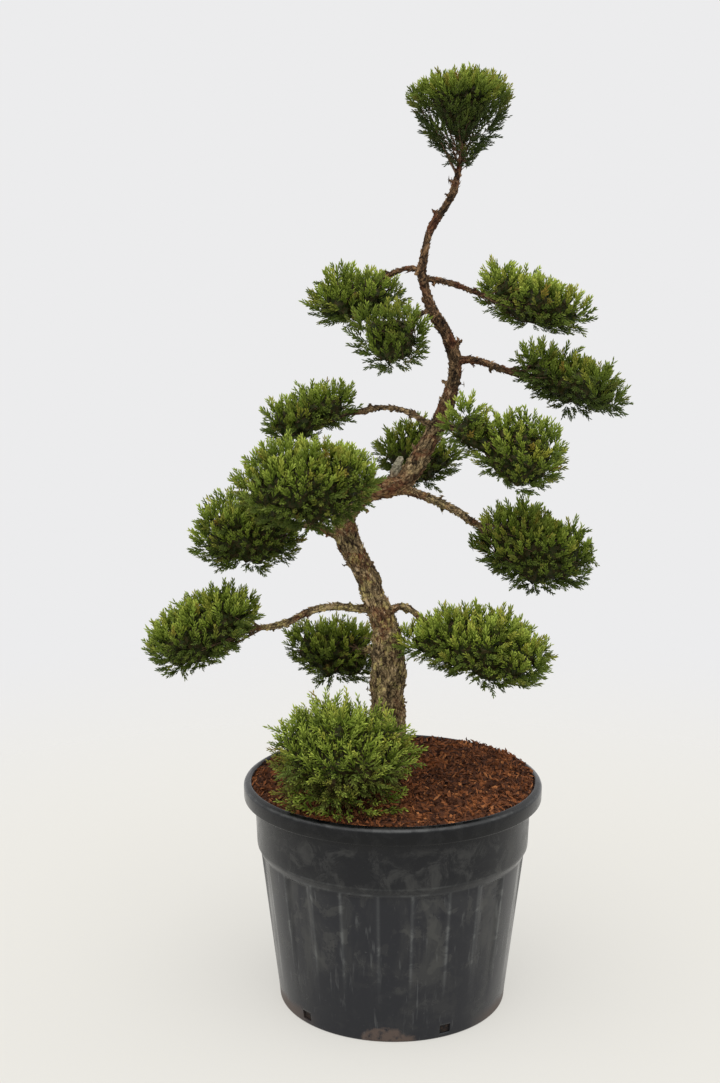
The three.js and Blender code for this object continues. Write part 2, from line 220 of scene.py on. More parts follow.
def dustyPlastic(net):
    look = plasticLook
    place = net.place()
    upright = net.height(place)
    body = 1 - upright.between(0.3, 0.318)
    high = upright.between(0.05, 0.22)
    streaks = net.grain(net.vector("MULTIPLY", place, (1.0, 1.0, 0.2)), 24.0, 5.0, 0.6, 0.3)
    runs = net.grain(net.vector("MULTIPLY", place, (1.0, 1.0, 0.08)), 95.0, 3.0, 0.6).between(0.6, 0.72)
    smudges = net.grain(place, 9.0, 6.0, 0.62, 0.8)
    blots = net.grain(place, 30.0, 4.0, 0.6, 0.6)
    specks = net.grain(place, 260.0, 3.0, 0.6).between(0.68, 0.76)
    dust = streaks.between(0.46, 0.62) * body * (0.1 + high * 0.3) + smudges.between(0.46, 0.6) * 0.25
    dust = dust + blots.between(0.52, 0.6) * (0.12 + body * high * 0.2)
    # Darker from the band's foot up, and darkest on the rim
    bandAndRimDarkened = upright.between(0.29, 0.33) * 0.6 + upright.between(0.404, 0.43) * 0.4
    marks = net.grain(place, 20.0, 6.0, 0.72, 0.9).between(0.46, 0.66) * upright.between(0.3, 0.33)
    # Pale lines on the steps and along the channels' edges: partly rubbed wear, partly a painted highlight
    wearAndHighlight = net.attribute("edge") * (0.35 + blots.between(0.44, 0.6) * 0.65)

    # Soil clings in one patch at the front of the foot and in a low splash at its sides
    spill = net.length(net.vector("MULTIPLY", net.vector("SUBTRACT", place, look["spill"]), (1.0, 1.0, 1.25)))
    ragged = smudges * 0.05 + blots * 0.03
    patch = (1 - (spill + ragged).between(0.088, 0.1)) * net.grain(place, 60.0, 4.0, 0.7).between(0.3, 0.55)
    aside = net.length(net.vector("MULTIPLY", place, (1.0, 0.0, 0.0))).between(0.14, 0.21)
    soil = patch.largest((1 - (upright + ragged).between(0.05, 0.078)) * aside * 0.9)
    relief = net.grain(place, 700.0, 2.0, 0.5) * 0.4 + smudges * 0.8
    return {
        "Base Color": net.layers(
            look, "dark", (dust.between(0.0, 1.0), "dusty"), (bandAndRimDarkened, "nearBlack"),
            (marks * (1 - upright.between(0.395, 0.41) * 0.8) * 0.62, "dusty"),
            (runs * body * 0.2, "wearAndHighlight"), (specks * 0.25, "wearAndHighlight"), (soil * 0.6, "soiled"),
            (wearAndHighlight * 0.5, "wearAndHighlight")),
        "Roughness": look["roughness"] + dust * 0.2 + marks * 0.15 + soil * 0.3,
        "Specular IOR Level": look["shine"], "Normal": net.bump(relief, 0.12, 0.0012),
    }


mulchLook = {
    "dark": tone(51, 27, 14), "light": tone(124, 73, 39), "splinter": tone(172, 112, 66),
    "pits": tone(38, 20, 10), "dry": tone(142, 84, 44), "damp": tone(42, 21, 12),
}


def mulchBark(net):
    look = mulchLook
    place = net.place()
    tint = net.attribute("tint")
    fine = net.grain(place, 320.0, 4.0, 0.65)
    patches = net.grain(place, 16.0, 4.0, 0.6)
    return {
        "Base Color": net.layers(
            look, "dark", (tint.between(0.1, 0.8), "light"),
            (tint.between(0.86, 0.99) * 0.8, "splinter"),
            (fine.between(0.4, 0.75) * 0.4, "pits"), (patches.between(0.52, 0.66) * 0.35, "dry"),
            (patches.between(0.48, 0.34) * 0.3, "damp")),
        "Roughness": 0.92, "Specular IOR Level": 0.25, "Normal": net.bump(fine, 0.6, 0.001),
    }


soilLook = {"dark": tone(14, 11, 9), "light": tone(58, 40, 28)}


def darkSoil(net):
    crumbs = net.grain(net.place(), 150.0, 5.0, 0.7)
    colour = net.layers(soilLook, "dark", (crumbs.between(0.4, 0.7), "light"))
    return {"Base Color": colour, "Roughness": 0.95, "Normal": net.bump(crumbs, 0.8, 0.002)}


barkLook = {
    "furrow": tone(54, 42, 28), "ridge": tone(200, 174, 128), "red": tone(130, 80, 54),
    "lichen": tone(184, 172, 98), "plateHighlight": tone(230, 208, 172), "strand": tone(38, 28, 19),
    "crack": tone(22, 15, 11), "flake": tone(190, 168, 130), "blotch": (0.66, 0.63, 0.6, 1.0),
    "upper": (0.53, 0.43, 0.41, 1.0), "deadPale": tone(172, 166, 142), "deadDark": tone(94, 88, 72),
    "redBend": (-0.02, -0.01, 1.04),
}


def flakyBark(net):
    look = barkLook
    place = net.place()
    along = net.attribute("grain", "Vector")
    relief = net.attribute("relief")
    upright = net.height(place)
    warp = net.scaled(net.grain(along, 24.0, 5.0, 0.6, out=1), 0.05)
    flow = net.vector("MULTIPLY", net.vector("ADD", along, warp), (1.0, 1.0, 0.32))
    strands = net.grain(flow, 300.0, 5.0, 0.7, 0.4)
    ridges = net.grain(flow, 85.0, 5.0, 0.66, 0.5)
    cracks = 1 - net.cracks(flow, 95.0).between(0.0, 0.16)
    patches = net.grain(place, 20.0, 4.0, 0.6, 0.5)
    blotches = net.grain(place, 46.0, 5.0, 0.62, 0.6)
    # Raised plates painted pale over the dark furrows: partly the bark's own tone, partly painted light on
    # the plates and painted shade in the furrows
    raised = relief.between(0.1, 0.6) * 0.45 + ridges.between(0.4, 0.6) * 0.55
    bend = net.length(net.vector("SUBTRACT", place, look["redBend"]))
    red = patches.between(0.49, 0.62) * upright.between(0.55, 0.95, 0.35, 0.68)
    red = red.largest((1 - bend.between(0.03, 0.075)) * 0.65)
    lichen = blotches.between(0.47, 0.58) * (1 - upright.between(0.8, 1.2)) * relief.between(0.05, 0.4)
    # A painted highlight on the highest plates
    plateHighlight = ridges.between(0.52, 0.6) * blotches.between(0.54, 0.44) * relief.between(0.2, 0.5)
    flakes = net.attribute("tint").between(0.72, 0.98) * (1 - upright.between(1.0, 1.3))
    grey = net.layers(look, "deadPale", (strands.between(0.4, 0.62), "deadDark"))
    brown = net.layers(
        look, "furrow", (raised, "ridge"), (red, "red"), (lichen * 0.5, "lichen"), (plateHighlight * 0.7, "plateHighlight"),
        (strands.between(0.55, 0.67) * 0.52, "strand"),
        # Cracks painted dark: partly their own colour, partly painted shade
        (cracks * strands.between(0.4, 0.52) * 0.76, "crack"), (flakes * 0.6, "flake"),
        (blotches.between(0.56, 0.42) * 0.8, "blotch", "MULTIPLY"),
        (upright.between(1.04, 1.36), "upper", "MULTIPLY"))
    return {
        "Base Color": net.mix(net.attribute("dead"), brown, grey),
        "Roughness": 0.88, "Specular IOR Level": 0.2,
        "Normal": net.bump(strands * 0.4 + ridges * 1.3 - cracks * 0.8, 0.8, 0.004),
    }


leafLook = {
    "deep": tone(31, 42, 6), "middle": tone(101, 119, 34), "tip": tone(168, 183, 77),
    "golden": tone(174, 162, 66), "browned": tone(140, 104, 44), "inner": tone(64, 48, 26),
    "under": tone(70, 82, 52),
}


def scaleLeaves(net):
    look = leafLook
    place = net.place()
    tip = net.attribute("tip")
    tint = net.attribute("tint")
    shade = net.attribute("shade")
    fresh = net.attribute("fresh")
    clump = net.grain(place, 26.0, 2.0, 0.5)
    fine = net.grain(place, 500.0, 2.0, 0.6)
    golden = (tint + net.grain(place, 7.0, 2.0, 0.5) * 0.5).between(0.95, 1.25) * tip.between(0.3, 0.9)
    dry = (1 - net.height(place).between(0.48, 0.6)) * clump.between(0.44, 0.56)
    # On the core, which has no tip, brown mottling over the dark base: painted shade of the cloud's inside,
    # like shadowed twigs
    inner = (1 - tip.between(0.0, 0.03)) * net.grain(place, 140.0, 3.0, 0.7).between(0.42, 0.6)
    return {
        "Base Color": net.layers(
            look, "deep", (tip.between(0.05, 0.6), "middle"),
            # Painted light: tips brighten on plumes that face up and on clouds painted more lit
            (tip.between(0.5, 1.0) * (0.35 + shade * 0.65) * fresh * 0.75, "tip"),
            (golden * 0.6, "golden"),
            # Painted light on the tops of clumps that face up, then painted shade between clumps
            (clump.between(0.56, 0.7) * tip.between(0.2, 0.8) * shade * 0.3, "golden"),
            (clump.between(0.5, 0.36) * 0.45, "deep"),
            (tint.between(0.98, 0.995) * tip.between(0.2, 0.8) * 0.7, "browned"),
            # Painted shade on plumes that face down and on clouds painted dim
            ((1 - shade) * 0.4 + (1 - fresh) * 0.5, "deep"),
            # Greyish undersides: partly the leaves' own paler undersides, partly painted bounce light from
            # the floor
            ((1 - shade) * tip.between(0.1, 0.7) * 0.3, "under"),
            (fine.between(0.5, 0.75) * 0.25, "deep"),
            (dry * (1 - tip.between(0.6, 1.0) * 0.6) * 0.75, "inner"), (inner * 0.6, "inner")),
        "Roughness": 0.62, "Specular IOR Level": 0.15, "Normal": net.bump(fine, 0.4, 0.0006),
    }


twigLook = {"dark": tone(62, 44, 28), "light": tone(112, 84, 58)}


def twigBark(net):
    fine = net.grain(net.place(), 260.0, 3.0, 0.6)
    colour = net.layers(twigLook, "dark", (fine.between(0.35, 0.65), "light"))
    return {"Base Color": colour, "Roughness": 0.85, "Normal": net.bump(fine, 0.5, 0.0008)}


finishBuilders = (dustyPlastic, mulchBark, darkSoil, flakyBark, scaleLeaves, twigBark)
finishes = {build.__name__: makeFinish(build) for build in finishBuilders}
print("finishes made:", len(finishes))


# Meshes and the trees that scatter one shape over another

def meshObject(name, points, faces, material=None, smooth=False):
    mesh = bpy.data.meshes.new(name)
    mesh.from_pydata([tuple(p) for p in points], [], faces)
    mesh.update()
    if smooth:
        mesh.shade_smooth()
    if material:
        mesh.materials.append(material)
    return stand(name, mesh)


def writeAttribute(mesh, name, values):
    # One number for each point, or three
    kind, field = ("FLOAT_VECTOR", "vector") if np.ndim(values) == 2 else ("FLOAT", "value")
    layer = mesh.attributes.new(name, kind, "POINT")
    layer.data.foreach_set(field, np.asarray(values, np.float32).ravel())


def pointsOf(mesh, kind="co"):
    # Each point's place, or with "normal" its normal
    values = np.zeros(len(mesh.vertices) * 3, np.float32)
    mesh.vertices.foreach_get(kind, values)
    return values.reshape(-1, 3).astype(float)


def movePoints(mesh, places):
    mesh.vertices.foreach_set("co", places.astype(np.float32).ravel())
    mesh.update()


def cutPoints(mesh, choose):
    # Takes off the points that the function chooses
    body = bmesh.new()
    body.from_mesh(mesh)
    bmesh.ops.delete(body, geom=choose(body), context="VERTS")
    body.to_mesh(mesh)
    body.free()


def drop(piece):
    data = piece.data
    bpy.data.objects.remove(piece)
    if isinstance(data, bpy.types.Mesh):
        bpy.data.meshes.remove(data)


def baked(piece, name):
    # The piece with its modifiers worked in, as a plain mesh of its own
    depsgraph = bpy.context.evaluated_depsgraph_get()
    mesh = bpy.data.meshes.new_from_object(
        piece.evaluated_get(depsgraph), preserve_all_data_layers=True, depsgraph=depsgraph)
    made = stand(name, mesh)
    drop(piece)
    made.name = name
    mesh.name = name
    return made


def joined(pieces, name):
    with bpy.context.temp_override(active_object=pieces[0], selected_editable_objects=pieces):
        bpy.ops.object.join()
    pieces[0].name = name
    pieces[0].data.name = name
    return pieces[0]


def modified(piece, kind, **settings):
    modifier = piece.modifiers.new(kind.lower(), kind)
    for name, value in settings.items():
        setattr(modifier, name, value)
    return modifier


def grow(base, tree, inputs, name, leanAttribute=None):
    # Runs a geometry tree on the base and keeps only its result
    modifier = modified(base, "NODES", node_group=tree)
    for socket in tree.interface.items_tree:
        if socket.in_out == "INPUT" and socket.name in inputs:
            modifier[socket.identifier] = inputs[socket.name]
        if socket.name == "Lean to" and leanAttribute:
            modifier[socket.identifier + "_use_attribute"] = True
            modifier[socket.identifier + "_attribute_name"] = leanAttribute
    return baked(base, name)


def arc(centre, radius, start, end, steps):
    turns = [math.radians(start + (end - start) * k / steps) for k in range(steps + 1)]
    return [(centre[0] + radius * math.cos(a), centre[1] + radius * math.sin(a)) for a in turns]


def around(count):
    return [math.tau * k / count for k in range(count)]


def blend(ends, share):
    return ends[0] + (ends[1] - ends[0]) * share


def smoothShare(value, low, high):
    t = min(1.0, max(0.0, (value - low) / (high - low)))
    return t * t * (3 - 2 * t)


socketKinds = {int: "Int", float: "Float", tuple: "Vector"}


def newTree(name, inputs):
    # Inputs give each label's first value, or the kind of a socket that starts empty
    tree = bpy.data.node_groups.new(name, "GeometryNodeTree")
    tree.interface.new_socket("Geometry", in_out="INPUT", socket_type="NodeSocketGeometry")
    for label, value in inputs.items():
        kind = socketKinds.get(type(value), value)
        socket = tree.interface.new_socket(label, in_out="INPUT", socket_type=f"NodeSocket{kind}")
        if kind != value:
            socket.default_value = value
    tree.interface.new_socket("Geometry", in_out="OUTPUT", socket_type="NodeSocketGeometry")
    net = Net(tree)
    start = net.add("NodeGroupInput")
    given = {socket.name: Value(net, socket) for socket in start.socket.node.outputs if socket.name}
    return tree, net, given


def endTree(net, instances, finish, shadeShell=None):
    result = net.add("GeometryNodeRealizeInstances", {"Geometry": instances})
    if shadeShell:
        result = net.add("GeometryNodeJoinGeometry", {0: [shadeShell, result]})
    result = net.add("GeometryNodeSetMaterial", {"Geometry": result, "Material": finish})
    net.add("NodeGroupOutput", {0: result})


# Points to the square metre before the spacing thins them
densest = 60000.0


def scatterTree(name, keepBase):
    # Stands copies of a collection's shapes on the base. Their long way turns from the surface
    # towards "Lean to". Where the surface faces down they thin out, shrink and fan outwards.
    tree, net, given = newTree(name, {
        "Shapes": "Collection", "Spacing": 0.015, "Seed": 1, "Underside share": 1.0, "Underside size": 1.0,
        "Fan out": 0.0, "Lean to": (0, 0, 1), "Lean": 0.5, "Spread": 0.3, "Clumps": 0.0, "Smallest": 0.8,
        "Largest": 1.2, "Spin": 6.283, "Sink": 0.0, "Lump height": 0.0, "Lump size": 0.05,
        "Core centre": (0, 0, 0), "Core size": 0.8, "Core grain": 0.004, "Painted light": 1.0, "Dim": 0.0,
        "Lit from": 90.0, "Lit to": 91.0, "Finish": "Material",
    })

    def draw(kind, low, high, salt):
        first, out = {"FLOAT_VECTOR": (0, 0), "FLOAT": (2, 1)}[kind]
        values = {first: low, first + 1: high, "Seed": given["Seed"] + salt}
        return net.add("FunctionNodeRandomValue", values, out, data_type=kind)

    def store(geometry, label, value):
        values = {"Geometry": geometry, "Name": label, "Value": value}
        return net.add("GeometryNodeStoreNamedAttribute", values)

    normal = net.add("GeometryNodeInputNormal")
    position = net.add("GeometryNodeInputPosition")
    lumps = net.grain(position, 1 / given["Lump size"], 1.0, 0.4)
    raised = net.scaled(normal, (lumps - 0.5) * given["Lump height"])
    base = net.moved(given["Geometry"], raised)
    facing = net.height(normal).between(-0.75, 0.15)
    share = given["Underside share"] + (1 - given["Underside share"]) * facing
    points = net.add("GeometryNodeDistributePointsOnFaces", {
        "Mesh": base, "Distance Min": given["Spacing"], "Density Max": densest,
        "Density Factor": share, "Seed": given["Seed"]}, distribute_method="POISSON")
    outward = Value(net, points.socket.node.outputs["Normal"])
    under = 1 - net.height(outward).between(-0.75, 0.15)
    fan = given["Fan out"] * under
    aside = net.vector("MULTIPLY", net.vector("SUBTRACT", position, given["Core centre"]), (1, 1, 0))
    aside = net.vector("ADD", net.vector("NORMALIZE", aside, (0, 0, 0)), (0, 0, 0.55))
    clump = net.grain(position, 0.9 / given["Lump size"], 1.0, 0.4, out=1)
    heading = outward
    for pull, share in (
            (given["Lean to"], given["Lean"] * (1 - fan)), (aside, fan),
            (net.vector("SUBTRACT", clump, (0.5, 0.5, 0.5)), given["Clumps"]),
            (draw("FLOAT_VECTOR", (-1, -1, -1), (1, 1, 1), 3), given["Spread"])):
        heading = net.vector("ADD", heading, net.scaled(pull, share))
    turned = net.add("FunctionNodeAlignRotationToVector", {"Vector": heading}, axis="Z")
    turned = net.add("FunctionNodeAlignRotationToVector", {"Rotation": turned, "Vector": outward},
                     axis="Y", pivot_axis="Z")
    spin = net.scaled(draw("FLOAT_VECTOR", (0, 0, -0.5), (0, 0, 0.5), 5), given["Spin"])
    spin = net.add("FunctionNodeEulerToRotation", {0: spin})
    turned = net.add("FunctionNodeRotateRotation", {0: turned, 1: spin}, rotation_space="LOCAL")
    size = given["Smallest"] + (given["Largest"] - given["Smallest"]) * draw("FLOAT", 0.0, 1.0, 9)
    size = size * (1 - (1 - given["Underside size"]) * under)
    points = net.moved(points, net.scaled(heading, 0 - given["Sink"]))
    lit = net.height(position).between(given["Lit from"], given["Lit to"])
    shade = net.height(outward).between(-0.7, 0.6).largest(lit)
    points = store(points, "shade", shade)
    points = store(points, "tint", draw("FLOAT", 0.0, 1.0, 7))
    # Each cloud's painted light level, dimmed on plumes that face down as far as Dim asks
    points = store(points, "fresh", given["Painted light"] * (1 - given["Dim"] * (1 - shade)))
    shapes = net.add("GeometryNodeCollectionInfo", {
        "Collection": given["Shapes"], "Separate Children": True, "Reset Children": True})
    stood = net.add("GeometryNodeInstanceOnPoints", {
        "Points": points, "Instance": shapes, "Pick Instance": True, "Rotation": turned, "Scale": size})
    shadeShell = None
    # The core: a dark shell drawn in from the base, painted shade that fills the cloud's inside where the
    # plumes leave gaps
    if keepBase:
        inward = net.scaled(net.vector("SUBTRACT", given["Core centre"], position), 1 - given["Core size"])
        rough = net.scaled(draw("FLOAT_VECTOR", (-1, -1, -1), (1, 1, 1), 11), given["Core grain"])
        shadeShell = net.moved(base, net.vector("ADD", inward, rough))
    endTree(net, stood, given["Finish"], shadeShell)
    return tree


def shapeSet(name, pieces):
    group = bpy.data.collections.new(name)
    for piece in pieces:
        bpy.context.scene.collection.objects.unlink(piece)
        group.objects.link(piece)
    return group


def dropSet(group):
    for piece in list(group.objects):
        drop(piece)
    bpy.data.collections.remove(group)


class Shoots:
    # Collects slim shoots that swell past their middle and end in a point

    def __init__(self):
        self.points = []
        self.faces = []
        self.tips = []

    def add(self, root, end, thick, low, high, turn, swell=0.6, flat=1.0):
        along = (end - root).normalized()
        side = along.orthogonal().normalized()
        across = along.cross(side)
        first = len(self.points)
        self.points.append(root)
        for k in range(3):
            angle = turn + k * math.tau / 3
            out = side * math.cos(angle) + across * math.sin(angle) * flat
            self.points.append(root.lerp(end, swell) + out * thick / 2)
        self.points.append(end)
        self.tips += [low] + [low + (high - low) * swell] * 3 + [high]
        for k in range(3):
            near, far = first + 1 + k, first + 1 + (k + 1) % 3
            self.faces.append((first, far, near))
            self.faces.append((near, far, first + 4))

    def piece(self, name):
        made = meshObject(name, self.points, self.faces)
        writeAttribute(made.data, "tip", self.tips)
        return made


def makeChip(draw, root, end, wide, swells, flat):
    # One flat scrap of bark
    shoots = Shoots()
    shoots.add(root, end, wide, 0, 1, draw.uniform(0, 6), draw.uniform(*swells), flat)
    return shoots.piece("chip")


# Foliage: plumes of scale-leaved shoots stand all over each pruned cloud

plumeSize = {
    "seed": 40, "kinds": 9, "length": 0.0405, "branchlets": 13, "thick": 0.0036, "spread": (34, 18),
    "reach": (0.47, 0.28), "forks": 5,
}
longPlumeSize = {
    "seed": 60, "kinds": 7, "length": 0.060, "branchlets": 14, "thick": 0.0035, "spread": (40, 24),
    "reach": (0.36, 0.17), "forks": 3,
}
# How far round each branchlet stands from the one below it, in radians
leafTurn = 2.399


def makePlume(index, size):
    draw = random.Random(size["seed"] + index)
    shoots = Shoots()
    length, thick = size["length"], size["thick"]
    bend = Vector((draw.uniform(-0.16, 0.16), draw.uniform(-0.16, 0.16), 0))

    def axis(t):
        return Vector((0, 0, t * length)) + bend * length * t * t

    shoots.add(axis(0), axis(1), thick * 1.15, 0.0, 1.0, 0.0, 0.45)
    turn = draw.uniform(0, math.tau)
    for i in range(size["branchlets"]):
        t = 0.08 + 0.82 * (i + draw.uniform(0.2, 0.8)) / size["branchlets"]
        turn += leafTurn + draw.uniform(-0.4, 0.4)
        spread = math.radians(blend(size["spread"], t)) * draw.uniform(0.8, 1.15)
        reach = length * blend(size["reach"], t) * draw.uniform(0.8, 1.2)
        out = Vector((math.cos(turn), math.sin(turn), 0))
        heading = (Vector((0, 0, 1)) * math.cos(spread) + out * math.sin(spread) + bend * t).normalized()
        root = axis(t)
        end = root + heading * reach
        low = 0.12 + 0.5 * t
        high = min(1.0, 0.5 + 0.5 * (t + reach / length * 0.6))
        shoots.add(root, end, thick * draw.uniform(0.85, 1.1), low, high, turn)
        if i < size["forks"]:
            side = heading.cross(out).normalized() * draw.choice((-0.55, 0.55))
            aside = (heading + side + Vector((0, 0, 0.25))).normalized()
            fork = root.lerp(end, draw.uniform(0.3, 0.5))
            forkEnd = fork + aside * reach * draw.uniform(0.42, 0.58)
            shoots.add(fork, forkEnd, thick * 0.85, low + 0.1, high, turn)
    return shoots.piece("plume")


def makePlumes(size):
    return shapeSet("plumes", [makePlume(i, size) for i in range(size["kinds"])])


padStyle = {
    "Spacing": 0.0114, "Underside share": 0.82, "Underside size": 0.8, "Fan out": 1.0, "Lean": 0.75,
    "Spread": 0.26, "Clumps": 1.7, "Smallest": 0.66, "Largest": 1.06, "Sink": 0.005, "Lump height": 0.066,
    "Lump size": 0.045, "Core size": 0.84, "Core grain": 0.004, "Painted light": 1.0,
}
# Per cloud: how brightly its leaves are painted lit; for the crown also painted shade on its lower,
# down-facing part and a painted lit band at its top
padChanges = {
    "crown": {
        "Spacing": 0.0097, "Underside share": 0.75, "Lean": 1.2, "Core size": 0.66, "Lump height": 0.018,
        "Largest": 1.0, "Fan out": 0.35, "Painted light": 0.84, "Dim": 1.0, "Lit from": 1.725, "Lit to": 1.785},
    "bottom": {
        "Spacing": 0.0124, "Lean": 0.4, "Smallest": 0.6, "Largest": 1.02, "Spread": 0.36, "Clumps": 1.7,
        "Sink": 0.014, "Painted light": 1.32},
    "upper_left": {"Painted light": 1.07}, "upper_right": {"Painted light": 1.45},
    "upper_left_low": {"Spacing": 0.0128, "Core size": 0.72, "Painted light": 0.62},
    "middle_right": {"Painted light": 0.5}, "front": {"Painted light": 1.08}, "back": {"Painted light": 0.88},
    "large_left": {"Painted light": 1.1}, "right": {"Painted light": 0.78},
    "lower_back": {"Painted light": 1.2}, "lower_right": {"Painted light": 1.28},
}
# How far a cloud's core sits above its middle, and how its surface is drawn in: its width's share
# at the foot and at the top, and its height's
coreLift = {"crown": 0.05}
squeeze = {"crown": {"wide": (0.84, 1.0), "tall": 0.934}}
padShape = {"weld": 0.0002, "voxel": 0.009, "smooth": 8, "shrink": -0.007}


def padSurface(node, cloud):
    # The cloud's solid, smoothed into the surface that the plumes' roots stand on
    piece = stand(node + "_roots", frame["nodes"][node].data.copy())
    modified(piece, "WELD", merge_threshold=padShape["weld"])
    modified(piece, "REMESH", mode="VOXEL", voxel_size=padShape["voxel"])
    modified(piece, "SMOOTH", iterations=padShape["smooth"])
    modified(piece, "DISPLACE", strength=padShape["shrink"], mid_level=0.0)
    made = baked(piece, node + "_roots")
    if cloud in squeeze:
        low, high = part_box(node)
        foot = np.array([(low.x + high.x) / 2, (low.y + high.y) / 2, low.z])
        places = pointsOf(made.data) - foot
        flare = ((places[:, 2] / (high.z - low.z) - 0.5) / 0.38).clip(0, 1)
        places[:, :2] *= blend(squeeze[cloud]["wide"], flare)[:, None]
        places[:, 2] *= squeeze[cloud]["tall"]
        movePoints(made.data, places + foot)
    return made


# The loosest sprays of the lowest bush lie over the mulch in front, towards the rim
skirtPlan = {
    "centre": (-0.099, -0.162), "from": -172, "to": -18, "rings": ((0.1, 0.461), (0.078, 0.494)), "steps": 22,
    # The skirt's plumes are painted a little less lit
    "style": {"Spacing": 0.0165, "Lean": -0.2, "Spread": 0.3, "Clumps": 0.9, "Smallest": 0.7, "Largest": 1.1,
              "Sink": 0.012, "Painted light": 0.85, "Lump height": 0.0},
}


def makeSkirt(plan):
    points = []
    for radius, height in plan["rings"]:
        ring = arc(plan["centre"], radius, plan["from"], plan["to"], plan["steps"])
        points += [(x, y, height) for x, y in ring]
    up = plan["steps"] + 1
    return meshObject("skirt", points, [(k, k + 1, up + k + 1, up + k) for k in range(plan["steps"])])


plumes = makePlumes(plumeSize)
longPlumes = makePlumes(longPlumeSize)
plumeTree = scatterTree("plumes on a cloud", True)
skirtTree = scatterTree("plumes at the foot", False)
foliageNodes = [name for name in frame["nodes"] if name.startswith("foliage_")]
rootPoints = {}
foliageFaces = 0
for number, node in enumerate(foliageNodes):
    cloud = node.removeprefix("foliage_")
    surface = padSurface(node, cloud)
    rootPoints[cloud] = pointsOf(surface.data)
    low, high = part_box(node)
    lift = Vector((0, 0, coreLift.get(cloud, 0.0)))
    loose = cloud == "bottom"
    inputs = {
        **padStyle, **padChanges.get(cloud, {}), "Shapes": longPlumes if loose else plumes,
        "Seed": 100 + 20 * number, "Core centre": tuple((low + high) / 2 + lift),
        "Finish": finishes["scaleLeaves"],
    }
    name = "sprays_" + cloud
    piece = grow(surface, plumeTree, inputs, name)
    if loose:
        skirt = grow(makeSkirt(skirtPlan), skirtTree, {**inputs, **skirtPlan["style"]}, "skirt")
        piece = joined([piece, skirt], name)
    foliageFaces += len(piece.data.polygons)
    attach(piece, "root")
    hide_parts(node)
    print(piece.name, len(piece.data.polygons))
dropSet(longPlumes)
dropSet(plumes)
print("foliage made:", foliageFaces, "faces")


# Wood: the trunk and each cloud's branch, as x, y, z and diameter in millimetres along its route

trunkRoute = [
    [-14, 0, 452, 76], [-12, 0, 500, 73], [-9, 0, 552, 72], [-11, 0, 626, 67], [-9, 0, 694, 68],
    [-16, 0, 759, 55], [-32, 0, 808, 49], [-47, 0, 854, 46], [-64, -2, 889, 45], [-82, -5, 925, 46],
    [-94, -8, 955, 47], [-96, -12, 986, 46], [-81, -14, 1014, 45], [-50, -12, 1035, 40],
    [-10, -8, 1043, 40], [18, -4, 1057, 40], [42, 0, 1084, 37], [64, 4, 1124, 34], [85, 6, 1162, 33],
    [101, 6, 1198, 32], [112, 4, 1235, 27], [118, 2, 1272, 24], [114, 0, 1303, 24],
    [100, -3, 1340, 25], [76, -6, 1377, 22], [60, -4, 1420, 19], [52, -2, 1458, 17],
    [59, 0, 1500, 15], [69, 2, 1537, 15], [88, 4, 1567, 15], [107, 4, 1596, 15], [118, 2, 1634, 13],
    [126, 0, 1682, 11], [125, 0, 1728, 8],
]
branchRoutes = {
    "upper_left": [[52, -2, 1458, 11], [31, 8, 1464, 11], [10, 15, 1459, 10], [-20, 24, 1445, 9],
        [-58, 30, 1424, 8]],
    "upper_left_low": [[74, -6, 1383, 10], [54, -27, 1380, 10], [31, -52, 1358, 9], [8, -68, 1336, 8]],
    "upper_right": [[55, -3, 1445, 12], [88, 6, 1440, 12], [130, 16, 1428, 11], [172, 24, 1412, 10],
        [218, 29, 1400, 9]],
    "middle_right": [[116, 0, 1287, 17], [146, -3, 1290, 15], [178, -6, 1283, 14], [214, -8, 1270, 13],
        [266, -10, 1256, 10]],
    "middle_left": [[85, 5, 1157, 13], [60, 10, 1170, 12], [31, 16, 1187, 12], [-2, 20, 1196, 11],
        [-37, 24, 1195, 12], [-71, 28, 1187, 12], [-124, 30, 1180, 9]],
    "front": [[92, 4, 1166, 15], [103, -38, 1166, 13], [132, -88, 1166, 12], [180, -118, 1150, 10]],
    "back": [[38, 0, 1078, 17], [37, 58, 1080, 14], [40, 108, 1085, 12], [43, 146, 1087, 10]],
    "large_left": [[-92, -12, 984, 20], [-115, -48, 1006, 17], [-140, -88, 1030, 14],
        [-166, -118, 1048, 12]],
    "large_left_low": [[-92, -8, 942, 18], [-123, -5, 953, 16], [-148, 2, 966, 14], [-194, 8, 966, 12],
        [-246, 12, 956, 9]],
    "right": [[2, -6, 1044, 22], [40, -15, 1034, 18], [80, -18, 1019, 17], [119, -12, 1000, 16],
        [150, -4, 978, 14], [208, 6, 944, 11]],
    "lower_left": [[-28, 0, 800, 20], [-66, -2, 801, 17], [-105, -4, 805, 15], [-141, -4, 803, 15],
        [-174, -4, 792, 14], [-208, -2, 774, 14], [-246, 0, 764, 13], [-310, 0, 758, 10]],
    "lower_back": [[-12, 0, 700, 20], [-26, 58, 698, 16], [-60, 106, 691, 13], [-98, 144, 685, 11]],
    "lower_right": [[-14, 0, 784, 18], [3, -8, 803, 16], [22, -15, 808, 15], [40, -25, 799, 14],
        [62, -36, 780, 14], [88, -46, 766, 12], [134, -55, 748, 10]],
    "bottom": [[-9, -4, 520, 30], [-34, -56, 527, 20], [-64, -98, 528, 16], [-92, -132, 530, 12]],
    "deadSnag": [[6, -2, 1050, 19], [0, -10, 1070, 18], [7, -14, 1088, 17], [14, -15, 1102, 13]],
}
